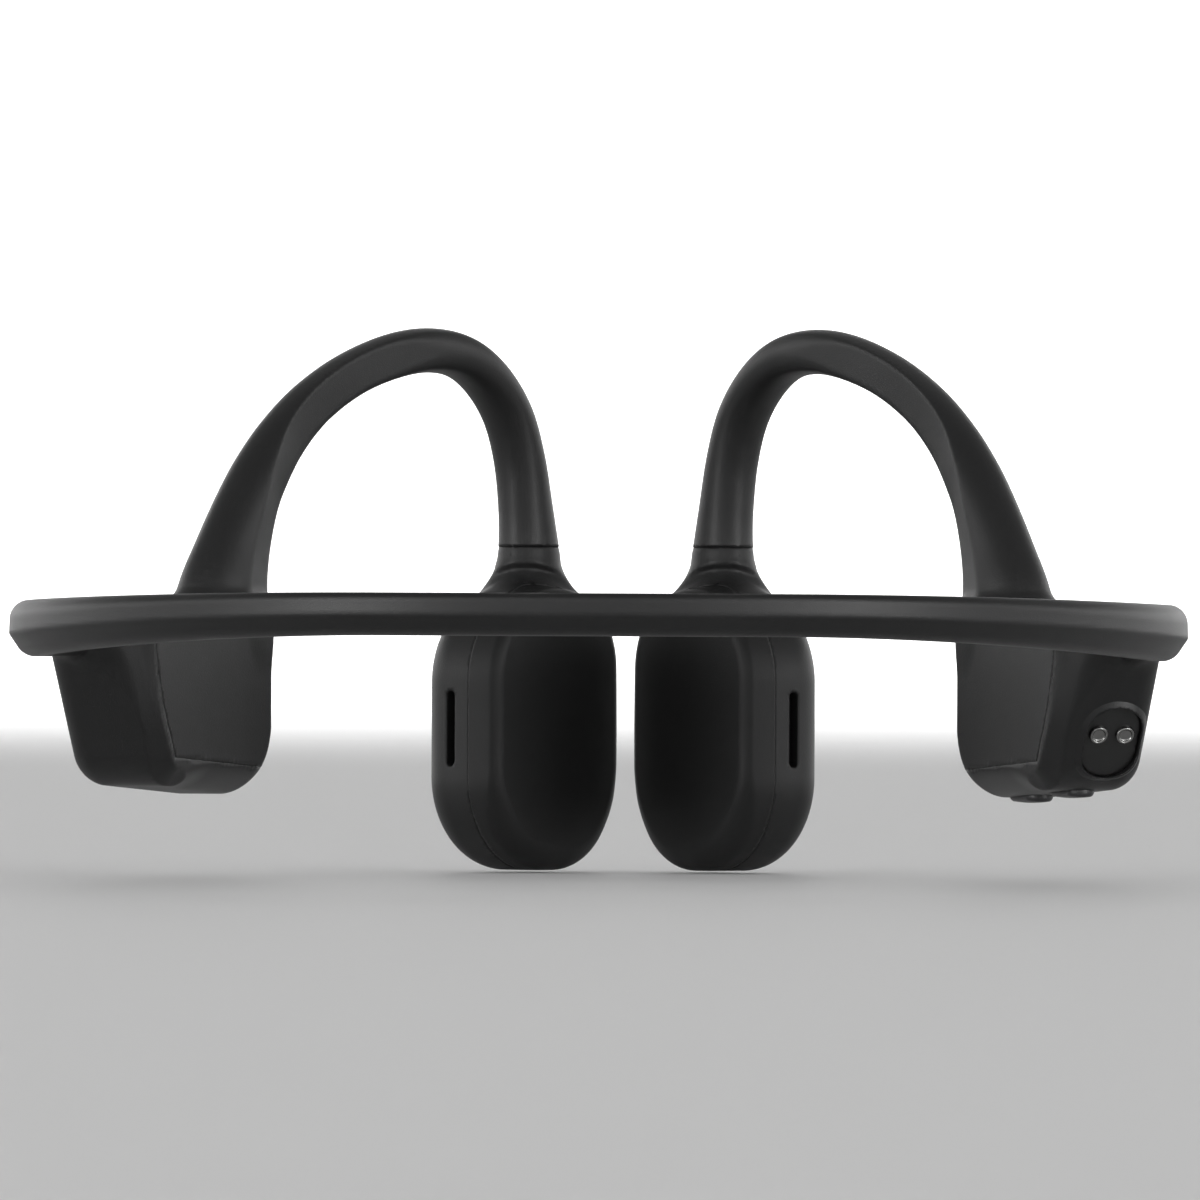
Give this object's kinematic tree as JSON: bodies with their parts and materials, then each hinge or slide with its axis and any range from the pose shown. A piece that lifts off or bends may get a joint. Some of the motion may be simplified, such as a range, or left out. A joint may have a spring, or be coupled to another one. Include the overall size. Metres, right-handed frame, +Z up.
{
  "type": "bone conduction headphones",
  "caption": "Behind-the-neck bone conduction headphones: an elastic neckband, two pods, two ear hooks and two cheekbone transducers.",
  "frame": {"origin": "bottom centre of the whole object's box, midway between the two transducers' left and right, on the surface it stands on", "axes": "+Z up, +Y the way the wearer faces, from the neckband's rear to the transducers, +X to the wearer's right"},
  "size_m": [0.098, 0.1263, 0.0465],
  "materials": {
    "battery": "foil pouch",
    "cable_jacket": "smooth",
    "circuit_board": "solder mask",
    "contact_skin": "soft-touch silicone, matt",
    "copper": "enamelled copper",
    "key": "matt, slightly smoother than the shell",
    "light_pipe": "diffusing",
    "magnet": "nickel plated",
    "mesh": "blackened, woven",
    "pins": "polished rim",
    "port_block": "smooth, satin",
    "seal": "moulded",
    "shell": "moulded, matt, fine grain",
    "shield": "tinned, stamped",
    "soft_skin": "soft-touch silicone, matt, fine grain",
    "spring_wire": "drawn titanium alloy",
    "steel": "stamped",
    "switch": "moulded"
  },
  "bodies": {
    "neckband": {"neckband_cable_centre": "cable_jacket", "neckband_sleeve_centre": "soft_skin", "neckband_wire_centre": "spring_wire"},
    "left_arm": {"battery_board": "circuit_board", "battery_cell": "battery", "function_switch": "switch", "left_cap_seal": "seal", "left_contact_cap": "contact_skin", "left_drive_post": "shell", "left_ear_hook": "soft_skin", "left_hook_cable": "cable_jacket", "left_hook_wire": "spring_wire", "left_motor_cup": "steel", "left_motor_magnet": "magnet", "left_pod_cover": "shell", "left_pod_gasket": "seal", "left_pod_tub": "soft_skin", "left_pole_plate": "steel", "left_spring_plate": "steel", "left_transducer_housing": "shell", "left_vent_mesh": "mesh", "left_voice_coil": "copper", "neckband_cable_left": "cable_jacket", "neckband_sleeve_left": "soft_skin", "neckband_wire_left": "spring_wire"},
    "right_arm": {"antenna": "copper", "charging_block": "port_block", "charging_magnets": "magnet", "charging_pins": "pins", "cheek_microphone": "shield", "main_board": "circuit_board", "neckband_cable_right": "cable_jacket", "neckband_sleeve_right": "soft_skin", "neckband_wire_right": "spring_wire", "pod_microphone": "shield", "right_cap_seal": "seal", "right_contact_cap": "contact_skin", "right_drive_post": "shell", "right_ear_hook": "soft_skin", "right_hook_cable": "cable_jacket", "right_hook_wire": "spring_wire", "right_motor_cup": "steel", "right_motor_magnet": "magnet", "right_pod_cover": "shell", "right_pod_gasket": "seal", "right_pod_tub": "soft_skin", "right_pole_plate": "steel", "right_spring_plate": "steel", "right_transducer_housing": "shell", "right_vent_mesh": "mesh", "right_voice_coil": "copper", "shield_can": "shield", "status_light": "light_pipe", "volume_switches": "switch"},
    "volume_up_button": {"volume_up_button": "key"},
    "volume_down_button": {"volume_down_button": "key"},
    "function_button": {"function_button": "key"}
  },
  "joints": [
    {"name": "left_arm_flex", "type": "hinge", "parent": "neckband", "child": "left_arm", "pos_m": [-0.03465, -0.04895, 0.0215], "axis": [0, 0, 1], "range_deg": [0, 36], "stiffness_Nm_per_rad": 0.25},
    {"name": "right_arm_flex", "type": "hinge", "parent": "neckband", "child": "right_arm", "pos_m": [0.03465, -0.04895, 0.0215], "axis": [0, 0, -1], "range_deg": [0, 36], "stiffness_Nm_per_rad": 0.25},
    {"name": "volume_up_press", "type": "slide", "parent": "right_arm", "child": "volume_up_button", "axis": [0, 0, 1], "range_m": [0, 0.0004], "stiffness_N_per_m": 4000},
    {"name": "volume_down_press", "type": "slide", "parent": "right_arm", "child": "volume_down_button", "axis": [0, 0, 1], "range_m": [0, 0.0004], "stiffness_N_per_m": 4000},
    {"name": "function_press", "type": "slide", "parent": "left_arm", "child": "function_button", "axis": [0.7826, -0.6225, 0], "range_m": [0, 0.0004], "stiffness_N_per_m": 4000}
  ]
}
